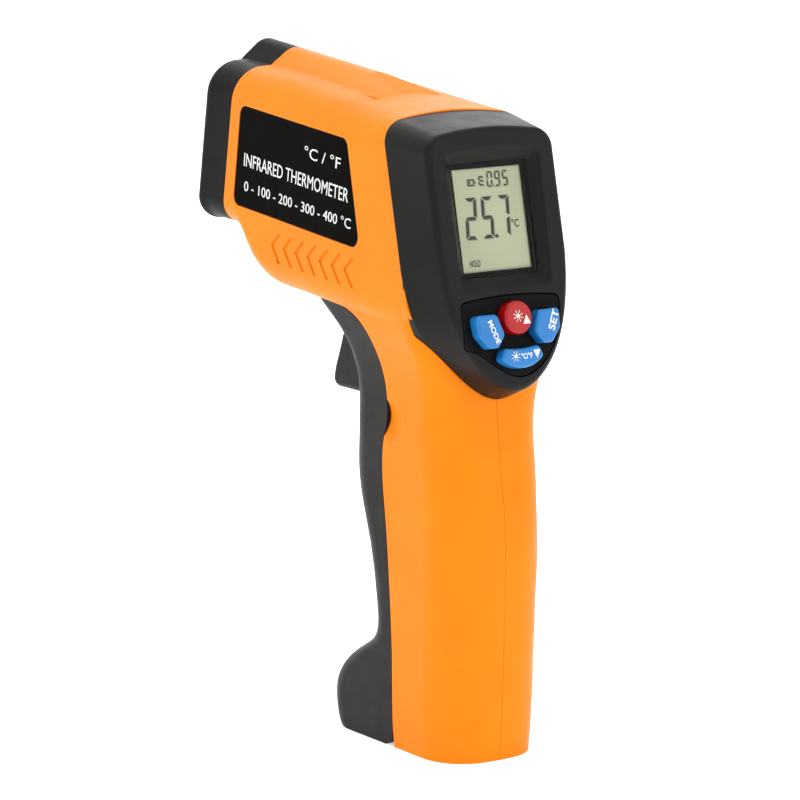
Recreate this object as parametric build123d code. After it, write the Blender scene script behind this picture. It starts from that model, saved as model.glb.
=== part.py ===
from build123d import *
from math import cos, radians, sin, tan
import os

os.makedirs("parts", exist_ok=True)

# Pistol-grip infrared thermometer, millimetres.
# Modelling frame: +Y is the pointing direction, +Z is up and x = 0 is the plane of symmetry.  The
# finished nodes are moved so that the origin is the centre of the bounding box's bottom.

# ---------------------------------------------------------------- driving dimensions
FOOT_Z = -1.0              # flat bottom of the handle
WALL = 2.0                 # shell thickness
FIT = 0.15                 # gap between two fixed shell parts
BARREL_TILT = 6.5          # the barrel points up by this angle when the handle stands upright
SEAM_Y = 92.9              # nose cap seam, on the sensor axis
NOSE_Y = 106.5             # front face of the nose cap, on the sensor axis
AXIS_Z = 127.9             # height of the sensor axis at the seam
SCREEN_TILT = 12.4         # display face, leaning back
JUNCTION_TILT = 16.4       # plane in which the display housing meets the shell
BATTERY_D = 10.5           # AAA cell
BATTERY_L = 44.5
HINGE_Y = 33.8             # battery door hinge
HINGE_Z = FOOT_Z + 3.4
DOOR_CORNER_R = 3.2
TRIGGER_REAR = 46.6        # rear face of the finger piece at rest
TRIGGER_TRAVEL = 3.5
BUTTON_TRAVEL = 0.8
BUTTON_HEIGHT = 2.7        # key caps above the rim plane
LASER_UP = 18.2            # laser axis above the sensor axis
PORT_R = 8.2               # sensor port in the nose
FACE = 2.0                 # front wall of the display housing
CELL_Y = 19.8              # cell axes
CELL_X = 5.45
CELL_Z0 = 19.0
TRAY_Z0 = 12.2
TRAY_Z1 = 67.5
BOSS_R = 3.6
SCREW_HEAD_X = 5.0         # seat of the screw heads
SCREW_POINTS = [(80.0, 109.5), (48.0, 140.4), (20.0, 84.0), (14.4, 7.0)]
LABEL = [(87.3, 140.4), (89.8, 117.0), (34.2, 113.0), (40.5, 137.0)]
BUTTONS = ("up", "left", "right", "down")

# ---------------------------------------------------------------- helper geometry


def section(plane, low, high, half_low, half_high, r_low, r_high, crown_low=1.0, crown_high=1.0):
    """Four sided outline with crowned ends and round corners, symmetric in the plane's x."""
    bottom = ThreePointArc((-half_low, low + crown_low), (0, low), (half_low, low + crown_low))
    right = Line((half_low, low + crown_low), (half_high, high - crown_high))
    top = ThreePointArc((half_high, high - crown_high), (0, high), (-half_high, high - crown_high))
    left = Line((-half_high, high - crown_high), (-half_low, low + crown_low))
    face = make_face([bottom, right, top, left])
    face = fillet(face.vertices().sort_by(Axis.Y)[:2], r_low)
    face = fillet(face.vertices().sort_by(Axis.Y)[-2:], r_high)
    return plane * face


def blend(table, at):
    """Straight line interpolation in a table of (station, value) pairs."""
    for (s0, v0), (s1, v1) in zip(table, table[1:]):
        if at <= s1:
            return v0 + (v1 - v0) * (at - s0) / (s1 - s0)
    return table[-1][1]


def box(x0, x1, y0, y1, z0, z1):
    """Box between two corners."""
    return Pos((x0 + x1) / 2, (y0 + y1) / 2, (z0 + z1) / 2) * Box(x1 - x0, y1 - y0, z1 - z0)


def along_x(y, z, radius, x0, x1):
    """Cylinder along X."""
    return Pos((x0 + x1) / 2, y, z) * Rot(0, 90, 0) * Cylinder(radius, x1 - x0)


def side_prism(wire_parts, half):
    """Side view outline (drawn in Y and Z) extruded both ways along X."""
    face = Plane.YZ * make_face(wire_parts)
    return extrude(face, half, both=True)


# Sensor frame: origin on the nose face, local z forward along the barrel, local y up.
sensor_dir = (0, cos(radians(BARREL_TILT)), sin(radians(BARREL_TILT)))
nose_origin = (0, NOSE_Y, AXIS_Z + (NOSE_Y - SEAM_Y) * tan(radians(BARREL_TILT)))
SENSOR = Plane(origin=nose_origin, x_dir=(-1, 0, 0), z_dir=sensor_dir)
SEAM = Plane(origin=(0, SEAM_Y, AXIS_Z), x_dir=(-1, 0, 0), z_dir=sensor_dir)

# Screen frame: origin on the rim plane level with the middle of the LCD, local z out of the
# display towards the user, local y up the display.
SCREEN = Plane(
    origin=(0, 8.9, 121.55),
    x_dir=(1, 0, 0),
    z_dir=(0, -cos(radians(SCREEN_TILT)), sin(radians(SCREEN_TILT))),
)
# Junction frame: origin at the lowest point of the display housing's joint with the shell.
JUNCTION = Plane(
    origin=(0, 9.0, 82.0),
    x_dir=(1, 0, 0),
    z_dir=(0, -cos(radians(JUNCTION_TILT)), sin(radians(JUNCTION_TILT))),
)
# Below this height on the junction plane the joint leans further in, down to the thinner handle.
CHEEK_HEIGHT = 30.0
CHEEK_TILT = JUNCTION_TILT - 8.5
CHEEK = Plane(
    origin=JUNCTION.from_local_coords((0, CHEEK_HEIGHT, 0)),
    x_dir=(1, 0, 0),
    z_dir=(0, -cos(radians(CHEEK_TILT)), sin(radians(CHEEK_TILT))),
)


def turned(radius, inner, depth0, depth1, up=0.0):
    """Ring about the sensor axis between two depths behind the nose face."""
    length = depth1 - depth0
    ring = Cylinder(radius, length)
    if inner:
        ring -= Cylinder(inner, length)
    return SENSOR * Pos(0, up, -(depth0 + depth1) / 2) * ring


# ---------------------------------------------------------------- outer form

# Height: rear, front, half width at the rear, half width at the front, rear radius, front radius.
HANDLE = [
    (FOOT_Z, 8.0, 57.2, 13.4, 13.3, 10.5, 8.0),
    (2.5, 7.7, 58.7, 13.7, 13.5, 11.0, 8.0),
    (7.0, 7.3, 59.1, 14.0, 13.6, 11.5, 8.0),
    (11.0, 7.1, 58.0, 14.1, 13.6, 11.5, 8.0),
    (15.0, 6.9, 54.6, 14.2, 13.6, 11.5, 8.0),
    (18.6, 6.8, 49.4, 14.2, 13.6, 11.5, 8.0),
    (21.8, 6.7, 44.2, 14.3, 13.6, 11.5, 8.0),
    (25.6, 6.5, 41.9, 14.3, 13.7, 11.5, 8.0),
    (31.0, 6.3, 42.0, 14.3, 13.8, 11.5, 8.0),
    (38.0, 6.0, 43.0, 14.4, 13.9, 11.5, 8.0),
    (45.0, 6.0, 44.7, 14.4, 13.9, 11.0, 8.0),
    (52.0, 6.2, 47.0, 14.4, 13.9, 11.0, 8.0),
    (59.0, 7.0, 48.8, 14.5, 13.9, 10.5, 8.0),
    (66.0, 8.0, 49.1, 14.6, 13.9, 10.0, 8.0),
    (73.0, 9.0, 48.7, 14.7, 14.0, 9.5, 8.0),
    (80.0, 9.7, 48.0, 15.1, 14.3, 8.0, 7.5),
    (86.0, 10.0, 48.6, 16.2, 14.7, 6.5, 7.0),
    (91.0, 10.9, 51.0, 17.8, 15.2, 5.5, 6.5),
    (96.0, 12.2, 56.5, 19.3, 15.7, 5.0, 6.5),
    (100.0, 13.3, 62.0, 20.0, 15.9, 5.0, 6.5),
    (106.0, 15.3, 68.0, 20.3, 16.0, 5.0, 6.5),
]

# Distance along Y: bottom of the barrel, which drops steeply behind the nose.
BELLY = [
    (9.0, 95.0),
    (20.0, 95.5),
    (33.0, 96.3),
    (45.0, 97.2),
    (57.0, 98.2),
    (68.0, 98.9),
    (75.0, 99.6),
    (79.5, 101.2),
    (83.0, 103.8),
    (86.5, 107.8),
    (90.0, 110.5),
    (94.0, 111.4),
    (98.5, 111.5),
    (104.0, 111.4),
    (110.0, 111.2),
]
# Distance along Y: top of the barrel, which dips towards the display housing.
ROOF = [(9.0, 141.2), (27.0, 143.5), (45.0, 145.4), (57.0, 146.6), (75.0, 148.0), (110.0, 149.9)]
HOLLOW_FLOOR = 101.3       # lowest point of the barrel's hollow, above the trigger


def handle_form(inset=0.0):
    """The handle, lofted through level sections; inset gives the inner side of its wall."""
    faces = []
    for z, rear, front, half_rear, half_front, r_rear, r_front in HANDLE:
        front_in = front - inset
        if inset >= WALL:
            front_in = min(front_in, 47.0 + max(0.0, z - 90.0))
            if z < 26.0:
                front_in = 41.9 - inset
        faces.append(
            section(
                Plane.XY.offset(z),
                rear + inset,
                front_in,
                half_rear - inset,
                half_front - inset,
                r_rear - inset,
                r_front - inset,
                blend([(FOOT_Z, 2.0), (73.0, 2.0), (91.0, 1.0), (106.0, 1.0)], z),
            )
        )
    return loft(faces)


def barrel_form(inset=0.0):
    """The barrel, lofted through sections square to Y."""
    faces = []
    for y, belly in BELLY:
        upright = Plane(origin=(0, y, 0), x_dir=(1, 0, 0), z_dir=(0, -1, 0))
        bottom = belly + inset
        if inset >= WALL:
            bottom = max(bottom, HOLLOW_FLOOR)
        half_low = blend([(9.0, 20.6), (40.0, 20.5), (97.0, 18.0), (110.0, 17.7)], y)
        half_high = blend([(9.0, 18.9), (40.0, 18.9), (97.0, 16.7), (110.0, 16.3)], y)
        faces.append(
            section(
                upright,
                bottom,
                blend(ROOF, y) - inset,
                half_low - inset,
                half_high - inset,
                blend([(9.0, 7.0), (75.0, 6.0), (110.0, 5.5)], y) - inset,
                blend([(9.0, 6.0), (24.0, 6.2), (45.0, 8.5), (97.0, 8.0), (110.0, 8.0)], y) - inset,
                0.8,
                blend([(9.0, 2.0), (27.0, 1.9), (57.0, 1.9), (80.0, 0.8), (110.0, 0.8)], y),
            )
        )
    return loft(faces)


def ridge_section(y, inset=0.0):
    """Bell shaped cross section of the laser ridge on top of the barrel."""
    shoulder = 144.95 + (y - 24.0) * 0.055
    peak = 149.2 + (y - 54.0) * 0.094 - inset
    height = peak - shoulder
    half = [
        (8.6, shoulder - 0.8),
        (6.3, shoulder + 0.12 * height),
        (4.2, shoulder + 0.52 * height),
        (2.2, shoulder + 0.87 * height),
    ]
    points = [(-x, z) for x, z in half] + [(0, peak)] + [(x, z) for x, z in reversed(half)]
    upright = Plane(origin=(0, y, 0), x_dir=(1, 0, 0), z_dir=(0, -1, 0))
    crest = Spline(points, tangents=[(1, 0.1), (1, -0.1)])
    floor = shoulder - 3.75
    skirt = Polyline(points[-1], (8.6, floor), (-8.6, floor), points[0])
    return upright * make_face([crest, skirt])


def ridge_form():
    """The ridge, cut off at its rear end by a sloping facet."""
    ridge = loft([ridge_section(110.0), ridge_section(75.0), ridge_section(38.0)])
    facet = Polyline((58.0, 149.8), (44.5, 145.2), (34.0, 141.6), (34.0, 170.0), (58.0, 170.0), close=True)
    return ridge - side_prism([facet], 20)


def half_space(plane, front):
    """Large block on one side of a plane."""
    side = 1 if front else -1
    return plane * Pos(0, 0, side * 100) * Box(300, 300, 200)


def rounded_nose(form, radius):
    """Cuts a form at the nose face and rounds the front edges it gets there."""
    form = form - half_space(SENSOR, True)
    edges = form.edges().filter_by(lambda e: abs(SENSOR.to_local_coords(e.center()).Z) < 0.05)
    return fillet(edges, radius)


def outer_form():
    """Whole body with nose, without the display housing."""
    return handle_form() + rounded_nose(barrel_form(), 3.2) + rounded_nose(ridge_form(), 1.5)


def inner_form():
    """The hollow inside the body."""
    hollow = handle_form(WALL) + barrel_form(WALL)
    hollow -= box(-40, 40, -20, 80, -10, FOOT_Z + WALL + 0.5)
    return hollow - half_space(SENSOR.offset(-2.6), True)


# ---------------------------------------------------------------- display housing outlines


def junction_outline(inset=0.0):
    """Shield outline where the display housing meets the shell."""
    side = 20.5 - inset
    top = 63.9 - inset
    shoulder = 19.1 - inset
    arch = ThreePointArc((-shoulder, top - 1.9), (0, top), (shoulder, top - 1.9))
    right = Line((shoulder, top - 1.9), (side, 29.0))
    cheek = (16.3 - 0.8 * inset, 12.7 + 0.5 * inset)
    chin = Spline(
        [(side, 29.0), cheek, (0, inset - 0.7), (-cheek[0], cheek[1]), (-side, 29.0)],
        tangents=[(-0.06, -1), (-0.06, 1)],
    )
    left = Line((-side, 29.0), (-shoulder, top - 1.9))
    face = make_face([arch, right, chin, left])
    return fillet(face.vertices().sort_by(Axis.Y)[-2:], 6.0 - min(inset, 2.0))


def rim_outline(inset=0.0):
    """Shield outline of the display housing's rim, on the screen plane."""
    side = 17.2 - inset
    top = 19.9 - inset
    shoulder = 17.0 - inset
    arch = ThreePointArc((-shoulder, top - 1.8), (0, top), (shoulder, top - 1.8))
    right = Line((shoulder, top - 1.8), (side - 0.3, -8.0))
    cheek = (14.1 - 0.9 * inset, -24.0 + 0.3 * inset)
    jaw = (9.4 - 0.7 * inset, -32.6 + 0.7 * inset)
    half = [(side - 0.3, -8.0), cheek, jaw]
    mirrored = [(-x, y) for x, y in reversed(half)]
    chin = Spline(half + [(0, -38.0 + inset)] + mirrored, tangents=[(-0.06, -1), (-0.06, 1)])
    left = Line((-side + 0.3, -8.0), (-shoulder, top - 1.8))
    face = make_face([arch, right, chin, left])
    return fillet(face.vertices().sort_by(Axis.Y)[-2:], 4.5 - min(inset, 2.0))


# ---------------------------------------------------------------- shell


def front_region(gap=0.0):
    """Everything in front of the seam between the shell and the battery door."""
    seam = [
        (30.3, 12.0),
        (30.6, 24.0),
        (31.5, 40.0),
        (33.0, 54.0),
        (33.9, 64.0),
        (33.1, 70.0),
        (31.5, 75.0),
        (31.2, 80.0),
        (32.0, 86.0),
        (33.9, 91.0),
        (37.3, 95.4),
        (43.7, 98.4),
        (50.0, 99.2),
        (56.0, 99.2),
        (60.5, 98.3),
        (64.0, 96.2),
    ]
    seam = [(y + gap, z - gap) for y, z in seam]
    edge = Spline(seam, tangents=[(0, 1), (1, -0.8)])
    foot = Line((seam[0][0], -5), seam[0])
    rest = Polyline(seam[-1], (90, 90), (90, -5), (seam[0][0], -5))
    return side_prism([foot, edge, rest], 30)


def trigger_slot():
    """Room between the door's two tines, ending in a pocket in the barrel's belly."""
    return box(-6.8, 6.8, 38, 75, 75.8, 97.5) + box(-6.8, 6.8, 38, 61, 97, 99.4)


def label_prism(inset=0.0):
    """Round cornered outline of the side labels, as a prism through both sides."""
    face = make_face(Polyline(*LABEL, close=True))
    face = fillet(face.vertices(), 2.4)
    if inset:
        face = offset(face, -inset)
    return extrude(Plane.YZ * face, 30, both=True)


def chevron(tip_y, tip_z):
    """One arrow-shaped groove outline, pointing at the nose."""
    stroke = 1.3
    return Polyline(
        (tip_y, tip_z),
        (tip_y - 3.2, tip_z + 2.9),
        (tip_y - 3.2 - stroke, tip_z + 2.9),
        (tip_y - stroke, tip_z),
        (tip_y - 3.3 - stroke, tip_z - 3.9),
        (tip_y - 3.3, tip_z - 3.9),
        (tip_y, tip_z),
    )


def thumb_notch():
    """Shallow hollow beside the door for the finger that pulls it open."""
    notch = Part()
    for side in (-1, 1):
        notch += Pos(side * 23.2, 30.2, 74.2) * Sphere(10.0)
    return notch


def shell_body():
    """Orange shell before it is parted at x = 0."""
    shell = outer_form() - inner_form()
    shell -= half_space(SEAM, True)
    shell -= half_space(JUNCTION, True) & box(-40, 40, -40, 60, 95, 170)
    shell -= JUNCTION * extrude(junction_outline(), 40)
    shell -= (JUNCTION * extrude(junction_outline(), -6.0)) & half_space(CHEEK, True)
    shell -= JUNCTION * extrude(junction_outline(WALL), -3.6)
    shell -= front_region()
    shell -= trigger_slot()
    skin = barrel_form(0.45)
    shell -= label_prism() - skin
    groove_floor = barrel_form(0.3)
    for count in range(7):
        groove = side_prism([chevron(72.3 - 5.3 * count, 109.5 - 0.25 * count)], 30)
        shell -= groove - groove_floor
    shell -= thumb_notch()
    return shell - turned(3.15, 0, 5.0, 20.0, LASER_UP)


def bosses(side):
    """Screw bosses of one shell half; side is -1 for the left half."""
    posts = Part()
    for y, z in SCREW_POINTS:
        posts += along_x(y, z, BOSS_R, min(0, side * 22), max(0, side * 22))
    return posts & inner_form_cache


def boss_holes(side):
    """Pilot holes on the left, clearance holes and head wells on the right."""
    holes = Part()
    for y, z in SCREW_POINTS:
        if side < 0:
            holes += along_x(y, z, 0.95, -8.0, 1.0)
        else:
            holes += along_x(y, z, 1.35, -1.0, 25.0)
            holes += along_x(y, z, 2.5, SCREW_HEAD_X, 25.0)
    return holes


def hinge_lug(side):
    """Half of the shell's central hinge lug, standing on the floor of the handle."""
    x0, x1 = min(0, side * 5.0), max(0, side * 5.0)
    lug = along_x(HINGE_Y, HINGE_Z, 2.6, x0, x1)
    lug += box(x0, x1, HINGE_Y - 6.0, HINGE_Y, FOOT_Z + 0.9, HINGE_Z + 2.6)
    return lug - along_x(HINGE_Y, HINGE_Z, 1.0, x0 - 1, x1 + 1)


def left_housing():
    half = shell_cache & box(-60, 0, -60, 160, -20, 200)
    half += bosses(-1)
    half += hinge_lug(-1)
    return half - boss_holes(-1)


def right_housing():
    half = shell_cache & box(0, 60, -60, 160, -20, 200)
    half += bosses(1)
    half += hinge_lug(1)
    return half - boss_holes(1)


def labels():
    """Two thin plates that lie in the recesses on both sides."""
    plate = label_prism(0.12) & (barrel_form(0.08) - barrel_form(0.45))
    left = plate & box(-60, -5, -60, 160, -20, 200)
    right = plate & box(5, 60, -60, 160, -20, 200)
    return left, right


# ---------------------------------------------------------------- nose and sensor


def nose_cap():
    """Black cap with the sensor port and, above it, the laser's opening."""
    cap = outer_form_cache & half_space(SEAM, True)
    cap -= inner_form_cache
    cap += turned(PORT_R + 1.6, 0, 0.3, 9.0)
    cone = Pos(0, 0, -1.9) * Cone(PORT_R - 1.4, PORT_R, 4.2)
    cap -= SENSOR * cone
    cap -= turned(7.35, 0, 3.9, 12.0)
    cap += turned(4.6, 0, 0.3, 4.0, LASER_UP) & outer_form_cache
    cap -= turned(1.6, 0, -1.0, 3.0, LASER_UP)
    cap -= turned(3.1, 0, 2.2, 30.0, LASER_UP)
    return cap


def lens_ring():
    """Threaded-look retaining ring in front of the lens."""
    ring = turned(7.25, 5.9, 4.0, 5.4)
    for angle in (0, 180):
        notch = SENSOR * Rot(0, 0, angle) * Pos(6.7, 0, -4.2) * Box(1.4, 1.2, 0.9)
        ring -= notch
    return ring


def fresnel_lens():
    """Moulded lens with stepped rings on its front."""
    lens = turned(7.0, 0, 5.4, 6.3)
    for step in range(5):
        radius = 1.1 + 0.95 * step
        lens -= turned(radius + 0.22, radius, 5.4, 5.6)
    return lens


def sensor_tube():
    """Tube that carries the lens in front and the sensor at its focus."""
    tube = turned(7.25, 6.2, 6.3, 34.0)
    tube += turned(7.25, 4.7, 33.9, 38.0)
    return tube


def thermopile():
    """Metal can of the infrared sensor with its flange and three leads."""
    can = turned(4.1, 0, 34.5, 38.0) + turned(4.6, 0, 38.0, 38.6)
    for angle in (30, 150, 270):
        lead = Cylinder(0.25, 3.2)
        place = Rot(0, 0, angle) * Pos(2.2, 0, 0)
        can += SENSOR * Pos(0, 0, -40.1) * place * lead
    return can - turned(2.0, 0, 34.4, 34.7)


def sensor_board():
    board = turned(8.6, 0, 39.2, 40.6)
    for angle in (30, 150, 270):
        place = Rot(0, 0, angle) * Pos(2.2, 0, 0)
        board -= SENSOR * Pos(0, 0, -40.0) * place * Cylinder(0.3, 4)
    return board


def laser_module():
    """Brass laser pointer module in the ridge."""
    return turned(3.0, 0, 2.3, 14.0, LASER_UP) - turned(1.3, 0, 2.2, 3.4, LASER_UP)


def laser_window():
    return turned(1.28, 0, 2.9, 3.4, LASER_UP)


# ---------------------------------------------------------------- display


def screen_box(half_x, low, high, front, back):
    """Box on the screen plane between two depths below the rim."""
    middle = Pos(0, (low + high) / 2, -(front + back) / 2)
    return SCREEN * middle * Box(2 * half_x, high - low, back - front)


def keypad_outline(inset=0.0):
    """Outline of the keypad panel in the lower part of the face."""
    side = 13.4 - inset
    arch = ThreePointArc((-side, -17.8 - inset), (0, -16.9 - inset), (side, -17.8 - inset))
    corner = (side, -17.8 - inset)
    cheek = (10.6 - 0.8 * inset, -29.0 + 0.6 * inset)
    chin = Spline(
        [corner, cheek, (0, -35.2 + inset), (-cheek[0], cheek[1]), (-side, corner[1])],
        tangents=[(0, -1), (0, 1)],
    )
    face = make_face([arch, chin])
    return fillet(face.vertices().sort_by(Axis.Y)[-2:], 1.6)


def button_outline(which):
    """Outlines of the four keys on the screen plane."""
    if which == "up":
        return Pos(0, -22.2) * Circle(3.7).face()
    if which == "down":
        top = ThreePointArc((-4.5, -28.6), (0, -29.0), (4.5, -28.6))
        right = Line((4.5, -28.6), (5.7, -30.9))
        low = ThreePointArc((5.7, -30.9), (0, -33.3), (-5.7, -30.9))
        left = Line((-5.7, -30.9), (-4.5, -28.6))
        face = make_face([top, right, low, left])
        return fillet(face.vertices(), 0.9)
    side = -1 if which == "left" else 1
    corners = [(5.6, -21.0), (11.3, -20.9), (10.9, -25.4), (8.4, -28.4), (6.0, -28.4), (4.0, -25.6)]
    face = make_face(Polyline(*[(side * x, y) for x, y in corners], close=True))
    return fillet(face.vertices(), 1.15)


def button(which):
    """Key cap with a retaining flange under the panel and a stem over its dome."""
    outline = button_outline(which)
    cap = extrude(SCREEN.offset(-2.3) * outline, 2.3 + BUTTON_HEIGHT)
    top = cap.faces().sort_by(lambda f: SCREEN.to_local_coords(f.center()).Z)[-1]
    cap = fillet(top.edges(), 0.7)
    cap += extrude(SCREEN.offset(-2.3) * offset(outline, 0.3), 0.8)
    center = outline.center()
    cap += SCREEN * Pos(center.X, center.Y, -2.8) * Cylinder(1.4, 1.1)
    return cap


def keypad_panel():
    """Inset panel with a rounded edge and one opening for each key."""
    panel = extrude(SCREEN.offset(-1.3) * keypad_outline(FIT), 1.25)
    top = panel.faces().sort_by(lambda f: SCREEN.to_local_coords(f.center()).Z)[-1]
    panel = fillet(top.edges(), 0.4)
    for which in BUTTONS:
        panel -= extrude(SCREEN.offset(-3) * offset(button_outline(which), 0.1), 6)
    return panel


def keypad_mat():
    """Rubber sheet on the circuit board with one dome under each key, clear of it when pressed."""
    dome_top = 3.35 + BUTTON_TRAVEL + 0.35
    dome_low = 7.9
    mat = extrude(SCREEN.offset(-8.6) * keypad_outline(2.6), 0.8)
    for which in BUTTONS:
        center = button_outline(which).center()
        middle = Pos(center.X, center.Y, -(dome_top + dome_low) / 2)
        mat += SCREEN * middle * Cone(2.3, 1.7, dome_low - dome_top)
    return mat


def display_housing():
    """Black shield-shaped housing with the window recess and the keypad opening."""
    rim = SCREEN * rim_outline()
    foot = JUNCTION * junction_outline()
    housing = loft([foot, rim])
    face = housing.faces().sort_by(lambda f: SCREEN.to_local_coords(f.center()).Z)[-1]
    housing = fillet(face.edges(), 1.6)
    hollow = loft([JUNCTION * junction_outline(2.2), SCREEN.offset(-FACE) * rim_outline(2.2)])
    cheeks = JUNCTION * extrude(junction_outline(0.1), -6.0)
    housing += cheeks & half_space(CHEEK.offset(0.1), True)
    housing -= hollow
    housing -= JUNCTION * extrude(junction_outline(2.2), -20)
    wide = make_face(
        [
            ThreePointArc((-13.0, 14.6), (0, 15.8), (13.0, 14.6)),
            Line((13.0, 14.6), (12.2, -15.8)),
            Line((12.2, -15.8), (-12.2, -15.8)),
            Line((-12.2, -15.8), (-13.0, 14.6)),
        ]
    )
    wide = fillet(wide.vertices(), 1.5)
    narrow = make_face(
        [
            ThreePointArc((-10.1, 12.3), (0, 12.4), (10.1, 12.3)),
            Line((10.1, 12.3), (10.1, -12.4)),
            Line((10.1, -12.4), (-10.1, -12.4)),
            Line((-10.1, -12.4), (-10.1, 12.3)),
        ]
    )
    narrow = fillet(narrow.vertices(), 0.6)
    housing -= loft([SCREEN.offset(-FACE - 0.1) * narrow, SCREEN.offset(0.05) * wide])
    housing -= extrude(SCREEN.offset(-1.35) * keypad_outline(), 3)
    housing -= extrude(SCREEN.offset(-4) * keypad_outline(0.8), 6)
    return housing


def display_window():
    return screen_box(11.4, -13.7, 13.7, FACE, FACE + 0.8)


def lcd_frame():
    return screen_box(11.4, -13.7, 13.7, 2.8, 3.4) - screen_box(9.3, -11.35, 11.35, 2.7, 3.5)


def lcd_glass():
    return screen_box(10.6, -13.0, 13.0, 3.4, 5.2)


def lcd_backlight():
    """Light guide block that also spaces the display from the board."""
    return screen_box(11.2, -13.6, 13.6, 5.2, 8.6) - screen_box(8.0, -10.0, 10.0, 6.8, 8.7)


def main_board():
    half = [(14, 14.5), (14, -18), (7.5, -30.5)]
    outline = Polyline(*half, *[(-x, y) for x, y in reversed(half)], close=True)
    return extrude(SCREEN.offset(-10.2) * make_face(outline), 1.6)


def board_parts():
    """Controller, memory and crystal on the back of the board."""
    chips = screen_box(4.5, -3.0, 6.0, 10.2, 11.8)
    chips += SCREEN * Pos(9.5, -7, -10.8) * Box(4.0, 5.0, 1.2)
    chips += SCREEN * Pos(-9.5, 8, -11.4) * Cylinder(1.5, 2.4)
    chips += SCREEN * Pos(-9.0, -6, -12.7) * Cylinder(2.5, 5.0)
    return chips


# ---------------------------------------------------------------- trigger


def trigger():
    """Finger piece with a square stem; slides straight back along -Y."""
    finger = [(59.2, 98.8), (61.9, 90.0), (64.4, 83.5), (65.9, 78.4)]
    front = Spline(finger, tangents=[(0.25, -1), (0.1, -1)])
    nose = ThreePointArc((65.9, 78.4), (65.3, 76.9), (63.9, 76.3))
    rest = Polyline((63.9, 76.3), (TRIGGER_REAR, 76.3), (TRIGGER_REAR, 98.8), (59.2, 98.8))
    body = side_prism([front, nose, rest], 6.4)
    edges = body.edges().filter_by(lambda e: e.center().Y > 60.5 and abs(abs(e.center().X) - 6.4) < 0.01)
    body = fillet(edges, 1.6)
    stem = box(-4, 4, 38.0, TRIGGER_REAR + 0.2, 79.5, 89.5)
    bore = Pos(0, 45.0, 86.2) * Rot(90, 0, 0) * Cylinder(2.7, 14.0)
    return body + stem - bore


def trigger_spring():
    """Return spring between the trigger and the frame."""
    length = 52.0 - 33.5 - 0.5
    path = Helix(pitch=length / 9, height=length, radius=2.0)
    wire = Wire(path.edges())
    start = Plane(origin=wire @ 0, z_dir=wire % 0)
    coil = sweep(start * Circle(0.25), path=wire)
    return Pos(0, 33.5 + 0.25, 86.2) * Rot(-90, 0, 0) * coil


def trigger_frame():
    """Frame on the middle screw boss that guides the stem and backs the spring."""
    frame = box(-6.6, 6.6, 15.0, TRIGGER_REAR - TRIGGER_TRAVEL - 0.5, 77.2, 92.0)
    frame -= box(-5.1, 5.1, 17.0, 40.1, 70.0, 99.0)
    frame -= box(-4.12, 4.12, 38.0, 50.0, 79.38, 89.62)
    frame += box(-5.2, 5.2, 31.5, 33.5, 83.6, 92.0)
    frame += Pos(0, 34.2, 86.2) * Rot(90, 0, 0) * Cylinder(1.5, 1.6)
    frame -= along_x(SCREW_POINTS[2][0], SCREW_POINTS[2][1], BOSS_R + 0.1, -8, 8)
    return frame


def trigger_board():
    return box(-5.0, 5.0, 29.8, 31.4, 77.6, 91.6)


def trigger_switch():
    """Push switch that the stem closes at the end of its travel."""
    body = box(-3.0, 3.0, 31.4, 33.4, 78.4, 83.4)
    return body + Pos(0, 33.8, 80.9) * Rot(90, 0, 0) * Cylinder(1.2, 0.9)


# ---------------------------------------------------------------- battery bay and door


def battery_tray():
    """Open-fronted tray for two AAA cells."""
    tray = box(-11.6, 11.6, 13.3, 26.2, TRAY_Z0, TRAY_Z1)
    tray -= box(-10.95, 10.95, CELL_Y, 30, TRAY_Z0 + 1.6, TRAY_Z1 - 1.6)
    for side in (-1, 1):
        channel = Pos(side * CELL_X, CELL_Y, (TRAY_Z0 + TRAY_Z1) / 2)
        tray -= channel * Cylinder(BATTERY_D / 2 + 0.25, TRAY_Z1 - TRAY_Z0 - 3.2)
        tray -= Pos(side * 12.0, 12.9, 40) * Rot(0, 0, side * 45) * Box(5.6, 5.6, 70)
    tray += box(0.6, 10.4, 16.0, 24.0, TRAY_Z0 + 1.6, CELL_Z0 - 0.5)
    tray += box(-10.4, -0.6, 16.0, 24.0, CELL_Z0 + BATTERY_L + 0.5, TRAY_Z1 - 1.6)
    return tray


def battery(side):
    """One cell, button end up on the left and down on the right."""
    cell = Pos(0, 0, BATTERY_L / 2 - 0.5) * Cylinder(BATTERY_D / 2, BATTERY_L - 1.0)
    cell = fillet(cell.edges(), 0.5)
    cell += Pos(0, 0, BATTERY_L - 0.8) * Cylinder(1.9, 1.6)
    if side > 0:
        cell = Rot(180, 0, 0) * Pos(0, 0, -BATTERY_L) * cell
    return Pos(side * CELL_X, CELL_Y, CELL_Z0) * cell


def battery_springs():
    """Coil contacts: below the left cell and above the right one."""
    coils = []
    for side, low, high in ((-1, TRAY_Z0 + 2.1, CELL_Z0), (1, CELL_Z0 + BATTERY_L, TRAY_Z1 - 2.1)):
        length = high - low - 0.7
        path = Helix(pitch=length / 4, height=length, radius=2.6)
        wire = Wire(path.edges())
        start = Plane(origin=wire @ 0, z_dir=wire % 0)
        coil = sweep(start * Circle(0.3), path=wire)
        coils.append(Pos(side * CELL_X, CELL_Y, low + 0.35) * coil)
    return Compound(children=coils)


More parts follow.
